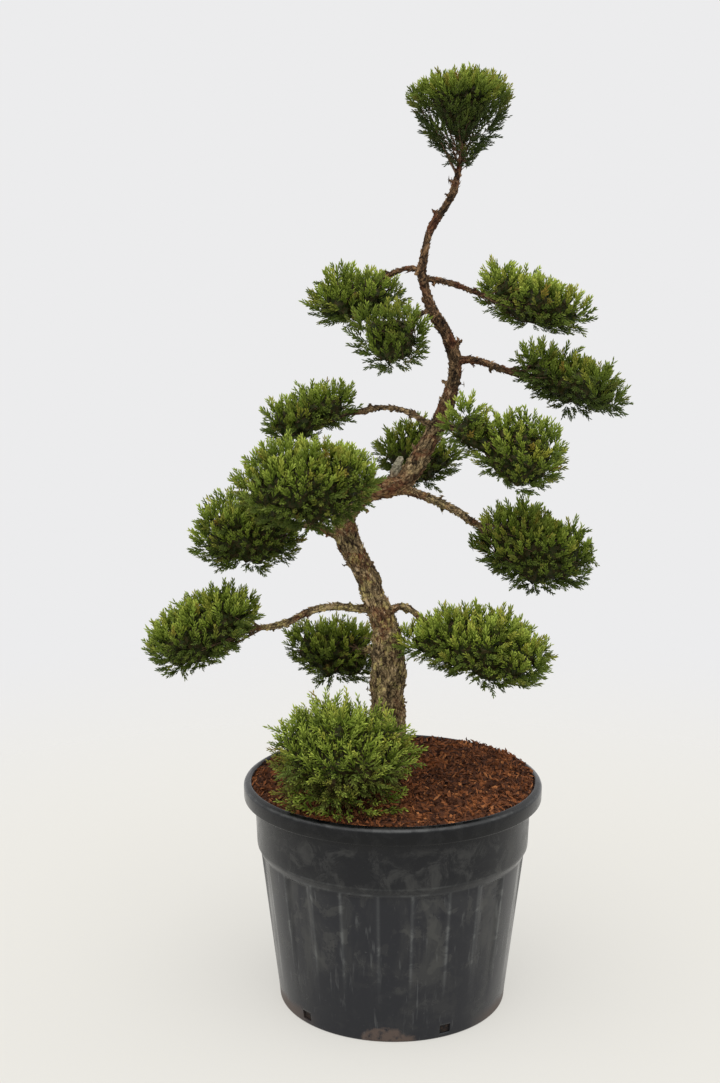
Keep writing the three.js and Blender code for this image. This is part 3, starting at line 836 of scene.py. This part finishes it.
woodShape = {
    "seed": 3, "step": 0.004, "sides": 28, "voxel": 0.0024, "smooth": 2, "plate": (0.009, 0.021),
    "plateHeight": 0.13, "leastRelief": 0.0013, "swell": 0.16, "swellSize": 0.034,
    "footRadius": 0.042, "footBottom": 0.34, "footTall": 0.11, "footSides": 18,
    "limbGap": 3.1, "fullGirth": 0.03, "levelRelief": 0.45, "deadSmooth": 0.75,
}
flakePlan = {
    "seed": 31, "kinds": 7, "length": (0.007, 0.017), "wide": (0.0032, 0.007), "mostDead": 0.2,
    "style": {"Spacing": 0.0062, "Seed": 700, "Lean": 2.3, "Spread": 0.8, "Spin": 0.9, "Smallest": 0.6,
              "Largest": 1.2},
}


def along(route, step):
    # Points, ways along and radii at even steps of a smooth curve through the route
    knots = np.array(route, float) / 1000
    padded = np.vstack([2 * knots[0] - knots[1], knots, 2 * knots[-1] - knots[-2]])
    rows = []
    for i in range(len(knots) - 1):
        a, b, c, d = padded[i:i + 4]
        pieces = max(1, round(float(np.linalg.norm((c - b)[:3])) / step))
        for k in range(pieces):
            t = k / pieces
            rows.append(0.5 * (2 * b + (c - a) * t + (2 * a - 5 * b + 4 * c - d) * t * t
                               + (3 * b - a - 3 * c + d) * t ** 3))
    rows.append(knots[-1])
    rows = np.array(rows)
    ways = np.gradient(rows[:, :3], axis=0)
    ways /= np.linalg.norm(ways, axis=1, keepdims=True)
    return rows[:, :3], ways, rows[:, 3] / 2


def framesFor(ways):
    # A side way for each step that turns as little as it can
    side = Vector((1, 0, 0)) if abs(ways[0][0]) < 0.8 else Vector((0, 1, 0))
    sides = []
    for way in ways:
        heading = Vector(way)
        side = (side - heading * side.dot(heading)).normalized()
        sides.append(side.copy())
    return np.array([tuple(s) for s in sides])


def tube(centres, ways, radii, count, name):
    sides = framesFor(ways)
    across = np.cross(ways, sides)
    turns = np.arange(count) * math.tau / count
    rings = (centres[:, None] + radii[:, None, None] * (
        sides[:, None] * np.cos(turns)[None, :, None] + across[:, None] * np.sin(turns)[None, :, None]))
    points = [Vector(p) for p in rings.reshape(-1, 3)]
    faces = []
    for s in range(len(centres) - 1):
        for k in range(count):
            near, far = s * count + k, s * count + (k + 1) % count
            faces.append((near, far, far + count, near + count))
    last = (len(centres) - 1) * count
    points.append(Vector(centres[0]) - Vector(ways[0]) * radii[0] * 0.3)
    points.append(Vector(centres[-1]) + Vector(ways[-1]) * radii[-1] * 0.8)
    for k in range(count):
        faces.append(((k + 1) % count, k, len(points) - 2))
        faces.append((last + k, last + (k + 1) % count, len(points) - 1))
    return meshObject(name, points, faces)


stubPlan = {
    "seed": 11, "length": (0.005, 0.017), "thick": (0.0042, 0.0085), "start": 0.04,
    "trunk": {"count": 52, "end": 0.93, "reach": 1}, "branch": {"count": 9, "end": 0.8, "reach": 0.6},
}


def makeStubs(limbs):
    # Broken ends of twigs that were pruned away along the wood
    draw = random.Random(stubPlan["seed"])
    made = []
    for name, (centres, ways, radii) in limbs.items():
        if name == "deadSnag":
            continue
        sides = framesFor(ways)
        plan = stubPlan["trunk" if name == "trunk" else "branch"]
        for _ in range(plan["count"]):
            at = draw.randrange(int(len(centres) * stubPlan["start"]), int(len(centres) * plan["end"]))
            turn = draw.uniform(0, math.tau)
            side, way = Vector(sides[at]), Vector(ways[at])
            out = side * math.cos(turn) + way.cross(side) * math.sin(turn)
            heading = (out + way * draw.uniform(-0.1, 0.7)).normalized()
            root = Vector(centres[at]) + out * radii[at] * 0.5
            reach = radii[at] * 0.5 + draw.uniform(*stubPlan["length"]) * plan["reach"]
            thick = min(draw.uniform(*stubPlan["thick"]), radii[at] * 1.2)
            steps = np.linspace(0, reach, 4)
            line = np.array([tuple(root + heading * s) for s in steps])
            girth = np.linspace(thick * 1.7, thick * 0.8, 4) / 2
            made.append(tube(line, np.array([tuple(heading)] * 4), girth, 8, "stub"))
    return made


def barkRelief(point, cellWide, cellLong):
    # How far a point of the bark stands out, from 0 in a crack to 1 on a loose plate
    spot = Vector((point[0] / cellWide, point[1] / cellWide, point[2] / cellLong))
    spot += noise.noise_vector(spot * 0.9) * 0.8
    distances, seeds = noise.voronoi(spot)
    crack = min(1.0, (distances[1] - distances[0]) * 2.4)
    lift = 0.5 + 0.5 * noise.cell(seeds[0] * 7.3)
    slant = 0.5 + 0.5 * max(-1.0, min(1.0, (seeds[0].z - spot.z) * 1.1))
    return crack * (0.3 + 0.45 * lift + 0.25 * slant)


def scraps(body):
    # What the voxels left loose: all points but those of the largest connected part
    left = set(body.verts)
    groups = []
    while left:
        group = {left.pop()}
        edge = list(group)
        while edge:
            for link in edge.pop().link_edges:
                for point in link.verts:
                    if point not in group:
                        group.add(point)
                        edge.append(point)
        left -= group
        groups.append(group)
    groups.sort(key=len)
    return [point for group in groups[:-1] for point in group]


def makeWood():
    routes = {"trunk": trunkRoute, **branchRoutes}
    limbs = {name: along(route, woodShape["step"]) for name, route in routes.items()}
    tubes = [tube(*limb, woodShape["sides"], "limb") for limb in limbs.values()]
    rough = joined(tubes + makeStubs(limbs), "rough")
    modified(rough, "REMESH", mode="VOXEL", voxel_size=woodShape["voxel"])
    modified(rough, "SMOOTH", iterations=woodShape["smooth"])
    wood = baked(rough, "wood")
    mesh = wood.data
    cutPoints(mesh, scraps)
    points = pointsOf(mesh)
    normals = pointsOf(mesh, "normal")

    # Where each point lies on its limb: how far along it and which way round. The points are
    # taken in chunks, which keeps the table of distances small.
    chunk = 4000
    centres = np.vstack([limb[0] for limb in limbs.values()])
    ways = np.vstack([limb[1] for limb in limbs.values()])
    radii = np.concatenate([limb[2] for limb in limbs.values()])
    sides = np.vstack([framesFor(limb[1]) for limb in limbs.values()])
    lengths = np.concatenate([np.arange(len(limb[0])) * woodShape["step"] + woodShape["limbGap"] * i
                              for i, limb in enumerate(limbs.values())])
    fades = np.concatenate([np.linspace(-0.6, 2.0, len(limb[0])).clip(0, 1) * (name == "deadSnag")
                            for name, limb in limbs.items()])
    gaps = (np.linalg.norm(points[start:start + chunk, None] - centres[None], axis=2) - radii[None]
            for start in range(0, len(points), chunk))
    nearest = np.concatenate([gap.argmin(axis=1) for gap in gaps])
    offset = points - centres[nearest]
    across = np.cross(ways[nearest], sides[nearest])
    grain = np.stack([(offset * sides[nearest]).sum(1), (offset * across).sum(1),
                      lengths[nearest] + (offset * ways[nearest]).sum(1)], axis=1)
    girth = radii[nearest]
    dead = fades[nearest]
    relief = np.zeros(len(points))
    shift = np.zeros(len(points))
    cellWide, cellLong = woodShape["plate"]
    noise.seed_set(woodShape["seed"])
    for i, point in enumerate(grain):
        share = 0.45 + 0.55 * min(1.0, girth[i] / woodShape["fullGirth"])
        relief[i] = barkRelief(point, cellWide * share, cellLong * share)
        lump = noise.noise(Vector(points[i]) / woodShape["swellSize"])
        plate = girth[i] * woodShape["plateHeight"] + woodShape["leastRelief"]
        shift[i] = (relief[i] - woodShape["levelRelief"]) * plate
        shift[i] += lump * girth[i] * woodShape["swell"]
        shift[i] *= 1 - dead[i] * woodShape["deadSmooth"]
    movePoints(mesh, points + normals * shift[:, None])
    for name, values in (("relief", relief), ("dead", dead), ("grain", grain), ("way", ways[nearest])):
        writeAttribute(mesh, name, values)
    mesh.shade_smooth()
    mesh.materials.append(finishes["flakyBark"])
    base = Vector((trunkRoute[0][0] / 1000, 0, woodShape["footBottom"]))
    line = np.array([tuple(base), tuple(base + Vector((0, 0, woodShape["footTall"])))])
    radii = np.array([woodShape["footRadius"]] * 2)
    foot = tube(line, np.array([(0, 0, 1.0)] * 2), radii, woodShape["footSides"], "foot")
    foot.data.materials.append(finishes["flakyBark"])
    return joined([wood, foot, makeFlakes(wood)], "wood")


def makeFlakes(wood):
    # Loose scales of bark that lie along the grain and lift at one end
    draw = random.Random(flakePlan["seed"])
    kinds = []
    for _ in range(flakePlan["kinds"]):
        length = draw.uniform(*flakePlan["length"])
        root = Vector((0, 0, -length * 0.45))
        end = Vector((draw.uniform(-0.0012, 0.0012), 0.0, length * 0.55))
        kinds.append(makeChip(draw, root, end, draw.uniform(*flakePlan["wide"]), (0.3, 0.7), 0.3))
    group = shapeSet("flakes", kinds)
    base = stand("flake_base", wood.data.copy())
    cutPoints(base.data, lambda body: [
        point for point in body.verts if point[body.verts.layers.float["dead"]] > flakePlan["mostDead"]])
    inputs = {**flakePlan["style"], "Shapes": group, "Finish": finishes["flakyBark"]}
    flakes = grow(base, scatterTree("flakes on bark", False), inputs, "flakes", "way")
    dropSet(group)
    return flakes


wood = makeWood()
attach(wood, "root")
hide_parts("trunk")
print("wood made:", len(wood.data.polygons))


# Twigs: fans of bare twigs run from each branch's end to its cloud's plumes

twigPlan = {
    "seed": 5, "thick": 0.0034, "steps": 6, "sag": 0.16, "bulge": 1.4, "reach": 0.97, "trunkBack": 26,
    "branchBack": 16,
}
twigCounts = {
    "crown": 46, "upper_left": 26, "upper_left_low": 46, "upper_right": 28, "middle_right": 28,
    "middle_left": 26, "front": 36, "back": 24, "large_left": 36, "large_left_low": 32, "right": 38,
    "lower_left": 38, "lower_back": 26, "lower_right": 40, "bottom": 30,
}


def twigTree():
    tree, net, given = newTree("twigs along curves", {"Sides": 4, "Finish": "Material"})
    ring = net.add("GeometryNodeCurvePrimitiveCircle", {"Resolution": given["Sides"], "Radius": 1.0})
    girth = net.add("GeometryNodeInputRadius")
    swept = net.add("GeometryNodeCurveToMesh", {
        "Curve": given["Geometry"], "Profile Curve": ring, "Fill Caps": True, "Scale": girth})
    endTree(net, swept, given["Finish"])
    return tree


def makeTwigs():
    draw = random.Random(twigPlan["seed"])
    curve = bpy.data.curves.new("twigs", "CURVE")
    curve.dimensions = "3D"
    for cloud, count in twigCounts.items():
        centres = along(branchRoutes.get(cloud, trunkRoute), woodShape["step"])[0]
        furthest = min(len(centres) - 1, twigPlan["branchBack" if cloud in branchRoutes else "trunkBack"])
        spots = rootPoints[cloud]
        for _ in range(count):
            target = Vector(spots[draw.randrange(len(spots))])
            hub = Vector(centres[-draw.randrange(1, furthest)])
            reach = target - hub
            bow = Vector((draw.uniform(-1, 1), draw.uniform(-1, 1), draw.uniform(-1, 0.4))) * reach.length
            spline = curve.splines.new("POLY")
            spline.points.add(twigPlan["steps"] - 1)
            thick = twigPlan["thick"] * draw.uniform(0.6, 1.1)
            for k, point in enumerate(spline.points):
                t = k / (twigPlan["steps"] - 1)
                sag = bow * twigPlan["sag"] * t * (1 - t) * twigPlan["bulge"]
                point.co = (*(hub + reach * t * twigPlan["reach"] + sag), 1)
                point.radius = thick / 2 * (1.15 - 0.8 * t)
    return grow(stand("twigs", curve), twigTree(), {"Sides": 4, "Finish": finishes["twigBark"]}, "twigs")


twigs = makeTwigs()
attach(twigs, "root")
print("twigs made:", len(twigs.data.polygons))


# The plastic pot, turned about Z with its channels pressed in

potShape = {
    "base": 0.230, "shoulder": 0.266, "band": 0.2735, "bandTop": 0.277, "rim": 0.2995, "mouth": 0.283,
    "shoulderHeight": 0.310, "bandHeight": 0.326, "rimHeight": 0.420, "height": 0.455,
    "wall": 0.0045, "floor": 0.006, "channels": 12, "channelTurn": 15.0, "channelFlat": 4.6,
    "channelEdge": 7.8, "channelDepth": 0.0045, "channelFoot": 0.04, "drains": 5,
    "drainSize": (0.022, 0.03, 0.017), "drainHeight": 0.0185, "drainTurn": -47.0, "sides": 360,
    "lipHeight": 0.4185, "channelRadius": 0.2,
}
# Edges painted pale, partly as rubbed wear and partly as a painted highlight where they catch the light:
# their height and how much, the half width of such a line, and that of the line along a channel in degrees
rubbedAndLitEdges = ((potShape["shoulderHeight"] + 0.001, 0.5), (potShape["bandHeight"], 0.35), (0.4495, 0.5))
edgeLineWidth = 0.002
ridgeWidth = 0.55


def span(start, end, steps):
    return [(start[0] + (end[0] - start[0]) * k / steps, start[1] + (end[1] - start[1]) * k / steps)
            for k in range(steps)]


def potProfile(shape):
    # Radius and height of each row, from the base's middle up the outside and down the inside
    wall, base, floor = shape["wall"], shape["base"], shape["floor"]
    shoulder, band, bandTop = shape["shoulder"], shape["band"], shape["bandTop"]
    step, edge, lip = shape["shoulderHeight"], shape["bandHeight"], shape["lipHeight"]
    knots = [
        (base + 0.0006, 0.012, 3), (base + 0.004, 0.04, 14), (shoulder - 0.0006, step - 0.009, 5),
        (shoulder + 0.0004, step + 0.001, 3), (band - 0.0006, edge - 0.002, 3),
        (band + 0.0002, edge + 0.003, 6), (bandTop, lip, 0),
    ]
    rows = [(0.0, 0.0), (0.12, 0.0), (0.2, 0.0)] + arc((base - 0.004, 0.004), 0.004, -90, -5, 4)
    for (*start, steps), (*end, _) in zip(knots, knots[1:]):
        rows += span(start, end, steps)
    rows += arc((bandTop + 0.0015, lip), 0.0015, 180, 90, 3)
    rows += arc((shape["rim"] - 0.004, shape["rimHeight"] + 0.0035), 0.0035, -90, 0, 4)
    rows += arc((shape["rim"] - 0.0095, shape["height"] - 0.0095 - 0.0015), 0.0095, 2, 78, 8)
    rows += arc((shape["mouth"] + 0.006, shape["height"] - 0.006), 0.006, 88, 180, 6)
    rows += span((shape["mouth"] - 0.0002, 0.446), (bandTop - wall, 0.42), 3)
    rows += [(bandTop - wall, 0.42), (band - wall, edge)]
    rows += span((shoulder - wall, step), (base + 0.004 - wall, 0.04), 8)
    return rows + [(base + 0.004 - wall, 0.04), (base + 0.001 - wall, floor), (0.12, floor), (0.0, floor)]


def channelShare(turn, height, shape):
    # How deep the channels are pressed in here, and how far off the nearest one's middle is
    pitch = 360 / shape["channels"]
    off = abs((turn - shape["channelTurn"] + pitch / 2) % pitch - pitch / 2)
    across = 1 - smoothShare(off, shape["channelFlat"], shape["channelEdge"])
    foot, top = shape["channelFoot"], shape["shoulderHeight"]
    rise = min(1.0, max(0.0, (height - foot) / (top - foot)))
    return across * rise * (1 - smoothShare(height, top - 0.007, top)), off


def makeDrains(shape):
    # Boxes that cut the drain holes
    wide, deep, tall = shape["drainSize"]
    cutters = []
    for i in range(shape["drains"]):
        a = math.radians(shape["drainTurn"] + 360 / shape["drains"] * i)
        corners = []
        for z in (-tall / 2, tall / 2):
            for x, y in ((-wide, -deep), (wide, -deep), (wide, deep), (-wide, deep)):
                x, y = x / 2, y / 2 - shape["base"]
                corners.append((x * math.cos(a) - y * math.sin(a), x * math.sin(a) + y * math.cos(a),
                                z + shape["drainHeight"]))
        quads = [(0, 3, 2, 1), (4, 5, 6, 7), (0, 1, 5, 4), (1, 2, 6, 5), (2, 3, 7, 6), (3, 0, 4, 7)]
        cutters.append(meshObject("drain", corners, quads))
    return joined(cutters, "drains")


def makePot(shape):
    rows = potProfile(shape)
    count = shape["sides"]
    points, wearAndHighlight, starts, faces = [], [], [], []
    for radius, height in rows:
        starts.append(len(points))
        if radius == 0.0:
            points.append((0, 0, height))
            wearAndHighlight.append(0.0)
            continue
        steps = max(share * math.exp(-((height - at) / edgeLineWidth) ** 2) for at, share in rubbedAndLitEdges)
        below = 0.06 < height < shape["shoulderHeight"]
        for k in range(count):
            turn = 360 * k / count
            share, off = channelShare(turn, height, shape)
            reach = radius - shape["channelDepth"] * share * (radius > shape["channelRadius"])
            a = math.radians(turn)
            points.append((reach * math.sin(a), -reach * math.cos(a), height))
            # The pale line along each channel's edge, partly wear and partly a painted highlight
            ridge = math.exp(-((off - shape["channelEdge"]) / ridgeWidth) ** 2)
            wearAndHighlight.append(min(1.0, ridge * below * smoothShare(height, 0.07, 0.2) + steps))
    for r, (low, high) in enumerate(zip(starts, starts[1:])):
        for k in range(count):
            n = (k + 1) % count
            under = (low + k, low + n) if rows[r][0] else (low,)
            faces.append(under + ((high + n, high + k) if rows[r + 1][0] else (high,)))
    shell = meshObject("pot_shell", points, faces, finishes["dustyPlastic"], smooth=True)
    writeAttribute(shell.data, "edge", wearAndHighlight)
    drains = makeDrains(shape)
    modified(shell, "BOOLEAN", object=drains, operation="DIFFERENCE", solver="EXACT")
    pot = baked(shell, "pot_shell")
    drop(drains)
    return pot


potShell = makePot(potShape)
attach(potShell, "root")
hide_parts("pot")
print("pot made:", len(potShell.data.polygons))

soilNode = frame["nodes"]["potting_soil"]
soilNode.data.materials.clear()
soilNode.data.materials.append(finishes["darkSoil"])


# Bark mulch: a broken surface covered in torn shreds

mulchPlan = {
    "edge": 0.2822, "edgeHeight": 0.4475, "crown": 0.460, "foot": 0.2665, "bottom": 0.4045, "rings": 46,
    "sides": 190, "heap": 0.0115, "heapTurn": 30, "crumbs": (60, 0.0036), "waves": (17, 0.008),
    "seed": 70, "kinds": 9, "length": (0.005, 0.018), "wide": 0.0064,
    "style": {"Spacing": 0.0049, "Seed": 900, "Underside share": -8.0, "Lean": 0.6, "Spread": 0.4,
              "Smallest": 0.55, "Largest": 1.4, "Sink": 0.0004},
}


def makeShred(index, plan):
    draw = random.Random(plan["seed"] + index)
    length = draw.uniform(*plan["length"])
    tilt = Vector((draw.uniform(-0.1, 0.1), draw.uniform(0.7, 1.0), draw.uniform(0.0, 0.7))).normalized()
    start = Vector((0, -length * 0.5, 0.0006))
    wide = plan["wide"] * draw.uniform(0.7, 1.5)
    return makeChip(draw, start, start + tilt * length, wide, (0.35, 0.65), 0.5)


def makeMulch(plan):
    sides, rings = plan["sides"], plan["rings"]
    crumbSize, crumbHeight = plan["crumbs"]
    waveSize, waveHeight = plan["waves"]
    points = [(0, 0, plan["crown"])]
    for r in range(1, rings + 1):
        radius = plan["edge"] * r / rings
        height = plan["crown"] + (plan["edgeHeight"] - plan["crown"]) * (r / rings) ** 2
        for a in around(sides):
            spot = Vector((radius * math.cos(a), radius * math.sin(a), 0))
            rough = noise.fractal(spot * crumbSize, 0.9, 2.1, 4) * crumbHeight
            rough += noise.noise(spot * waveSize) * waveHeight
            rough *= 1 - 0.8 * smoothShare(r / rings, 0.9, 1.0)
            heap = max(0.0, math.cos(a - math.radians(plan["heapTurn"]))) ** 4
            heap *= plan["heap"] * smoothShare(r / rings, 0.35, 0.92)
            points.append((spot.x, spot.y, height + rough + heap))
    faces = [(0, 1 + k, 1 + (k + 1) % sides) for k in range(sides)]
    for ring in range(1, len(points) - sides, sides):
        for k in range(sides):
            near, far = ring + k, ring + (k + 1) % sides
            faces.append((near, near + sides, far + sides, far))
    low = len(points)
    rim = low - sides
    foot, bottom = plan["foot"], plan["bottom"]
    points += [(foot * math.cos(a), foot * math.sin(a), bottom) for a in around(sides)] + [(0, 0, bottom)]
    for k in range(sides):
        n = (k + 1) % sides
        faces.append((rim + k, low + k, low + n, rim + n))
        faces.append((low + k, low + sides, low + n))
    top = meshObject("mulch_top", points, faces, finishes["mulchBark"])
    writeAttribute(top.data, "tint", [0.3] * len(points))
    bed = stand("mulch_bed", top.data.copy())
    shreds = shapeSet("shreds", [makeShred(i, plan) for i in range(plan["kinds"])])
    inputs = {**plan["style"], "Shapes": shreds, "Finish": finishes["mulchBark"]}
    made = grow(top, scatterTree("shreds on mulch", False), inputs, "mulch_shreds")
    dropSet(shreds)
    return joined([bed, made], "bark_shreds")


mulch = makeMulch(mulchPlan)
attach(mulch, "root")
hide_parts("bark_mulch")
print("mulch made:", len(mulch.data.polygons))


# Studio: a pale floor, a pale surround and soft lamps

studio = {
    "floorRadius": 3.4, "floorSides": 96, "fadeFrom": 0.9, "floor": tone(131, 130, 126),
    "glow": tone(182, 180, 175), "surround": tone(236, 236, 237),
    "lamps": [
        {"from": (-0.45, -0.75, 1.6), "spread": 75, "strength": 2.0},
        {"from": (0.7, -0.4, 1.3), "spread": 75, "strength": 1.1},
    ],
}


def paleFloor(net):
    # The floor fades out towards its rim, so that no horizon shows. It also glows evenly of its own, a
    # painted light that keeps the shadows on it faint
    shown = 1 - net.length(net.place()).between(studio["fadeFrom"], studio["floorRadius"] * 0.97)
    return {
        "Base Color": studio["floor"], "Roughness": 0.9, "Specular IOR Level": 0.1, "Alpha": shown,
        "Emission Color": studio["glow"], "Emission Strength": 1.0,
    }


def makeStudio(plan):
    radius = plan["floorRadius"]
    ring = [(radius * math.cos(a), radius * math.sin(a), 0) for a in around(plan["floorSides"])]
    floor = meshObject("floor", ring, [tuple(range(len(ring)))], makeFinish(paleFloor))
    world = bpy.data.worlds.new("surround")
    world.use_nodes = True
    bpy.context.scene.world = world
    net = Net(world.node_tree)
    sky = net.add("ShaderNodeBackground", {"Color": plan["surround"], "Strength": 1.0})
    net.add("ShaderNodeOutputWorld", {"Surface": sky})
    for i, lamp in enumerate(plan["lamps"]):
        data = bpy.data.lights.new(f"lamp{i}", "SUN")
        data.angle = math.radians(lamp["spread"])
        data.energy = lamp["strength"]
        light = stand(f"lamp{i}", data)
        light.location = Vector(lamp["from"]) * 2
        light.rotation_euler = (-Vector(lamp["from"])).to_track_quat("-Z", "Y").to_euler()


makeStudio(studio)
print("studio made")
